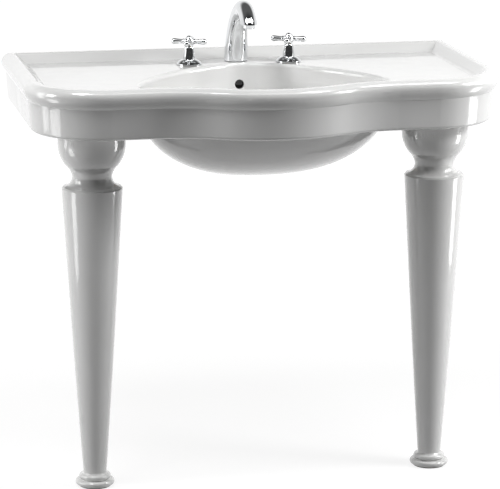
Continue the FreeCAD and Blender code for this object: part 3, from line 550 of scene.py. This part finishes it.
def new_piece(name, mesh, material, body):
    """Turns a bmesh into a piece of the object, riding on a body."""
    data = bpy.data.meshes.new(name)
    bmesh.ops.recalc_face_normals(mesh, faces=mesh.faces)
    mesh.to_mesh(data)
    mesh.free()
    piece = bpy.data.objects.new(name, data)
    bpy.context.scene.collection.objects.link(piece)
    data.materials.append(material)
    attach(piece, body)
    return piece


def thread(name, slot, axis, low, high, radius, pitch, depth):
    """Winds a ridge round an upright axis between two heights, and returns its turns."""
    x, y = axis
    foot, crest = x + radius - depth * RIDGE_ROOT, x + radius + depth
    mesh = bmesh.new()
    corners = [mesh.verts.new((out, y, low + pitch * rise)) for out, rise in
               ((foot, 0.0), (crest, RIDGE_WIDTH / 2), (foot, RIDGE_WIDTH))]
    edges = [mesh.edges.new((corners[k], corners[k - 1])) for k in range(3)]
    turns = (high - low) / pitch - 1
    steps = round(turns * THREAD_STEPS)
    bmesh.ops.spin(mesh, geom=corners + edges, cent=(x, y, 0), axis=(0, 0, 1),
                   dvec=(0, 0, pitch / THREAD_STEPS), angle=2 * math.pi * steps / THREAD_STEPS,
                   steps=steps)
    ends = [edge for edge in mesh.edges if edge.is_boundary]
    bmesh.ops.holes_fill(mesh, edges=ends, sides=3)
    new_piece(name, mesh, FINISHES[slot], "sink")
    return turns


print("one turn of thread has", THREAD_STEPS, "steps")

# %% Threads on the valve tails and barrels
TAIL_PITCH, TAIL_DEPTH = 1.814 * MM, 0.35 * MM
TAIL_RADIUS = 10.48 * MM
TAIL_SPAN = (1 * MM, 20 * MM)    # its heights above the tail's foot
FINE_PITCH, FINE_DEPTH = 1.5 * MM, 0.3 * MM
BARREL_RADIUS = 13.2 * MM
BARREL_SPAN = (20 * MM, 0.5 * MM)    # its depths below the back nut


def node_axis(node):
    low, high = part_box(node)
    return (low.x + high.x) / 2, (low.y + high.y) / 2


for side in ("hot", "cold"):
    axis = node_axis(side + "_back_nut")
    tail_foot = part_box(side + "_valve_body")[0].z
    nut_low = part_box(side + "_back_nut")[0].z
    thread(side + "_tail_thread", "brass", axis, tail_foot + TAIL_SPAN[0],
           tail_foot + TAIL_SPAN[1], TAIL_RADIUS, TAIL_PITCH, TAIL_DEPTH)
    turns = thread(side + "_barrel_thread", "brass", axis, nut_low - BARREL_SPAN[0],
                   nut_low - BARREL_SPAN[1], BARREL_RADIUS, FINE_PITCH, FINE_DEPTH)
    print(side, "barrel thread:", round(turns, 1), "turns")

# %% Threads on the spout shank and the tie rods
SHANK_RADIUS = 10.4 * MM
SHANK_CLEAR = (0.5 * MM, 0.3 * MM)    # room left at the tee and at the nut
ROD_RADIUS, ROD_DEPTH = 5.0 * MM, 0.1 * MM

turns = thread("shank_thread", "brass", node_axis("spout_back_nut"),
               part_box("spout_tee")[1].z + SHANK_CLEAR[0],
               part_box("spout_back_nut")[0].z - SHANK_CLEAR[1],
               SHANK_RADIUS, FINE_PITCH, FINE_DEPTH)
print("shank thread:", round(turns, 1), "turns")
for side in ("left", "right"):
    bare_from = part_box("tie_rod_top_nuts")[1].z
    rod_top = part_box(side + "_tie_rod")[1].z
    thread(side + "_rod_thread", "steel", node_axis(side + "_tie_rod"), bare_from, rod_top,
           ROD_RADIUS, FINE_PITCH, ROD_DEPTH)
print("rod ends stand", round((rod_top - bare_from) / MM, 1), "mm proud of their nuts")

# %% [markdown]
# ## The aerator's screen
#
# Looking up into the spout one sees a honeycomb that breaks the water into a soft stream.
# Every cell of a grid is inset and its middle taken out, the web that is left is cut to a
# disc, and it is given a thickness. It stands for the frame's plain insert.

# %% Aerator screen
CELLS = 9
WEB_HALF = 0.28 * MM          # half the width of the web between two cells
SCREEN_THICKNESS = 1.2 * MM
SCREEN_LIFT = 0.4 * MM        # above the foot of the insert
SCREEN_EDGE = 0.96            # the web is kept within this share of the radius

low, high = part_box("aerator_insert")
centre = (low + high) / 2
radius = (high.x - low.x) / 2
screen = bmesh.new()
bmesh.ops.create_grid(screen, x_segments=CELLS, y_segments=CELLS, size=radius)
cells = screen.faces[:]
bmesh.ops.inset_individual(screen, faces=cells, thickness=WEB_HALF)
bmesh.ops.delete(screen, geom=cells, context="FACES")
outside = [face for face in screen.faces
           if face.calc_center_median().length > radius * SCREEN_EDGE]
bmesh.ops.delete(screen, geom=outside, context="FACES")
web = bmesh.ops.extrude_face_region(screen, geom=screen.faces[:])
bmesh.ops.translate(screen, vec=(0, 0, SCREEN_THICKNESS),
                    verts=[v for v in web["geom"] if isinstance(v, bmesh.types.BMVert)])
bmesh.ops.translate(screen, vec=(centre.x, centre.y, low.z + SCREEN_LIFT), verts=screen.verts)
print("screen has", len(screen.faces), "faces")
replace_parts(new_piece("aerator_screen", screen, grey_plastic, "sink"), "aerator_insert")

# %% [markdown]
# ## The view transform
#
# The picture is drawn with Blender's Standard view transform.

bpy.context.scene.view_settings.view_transform = "Standard"
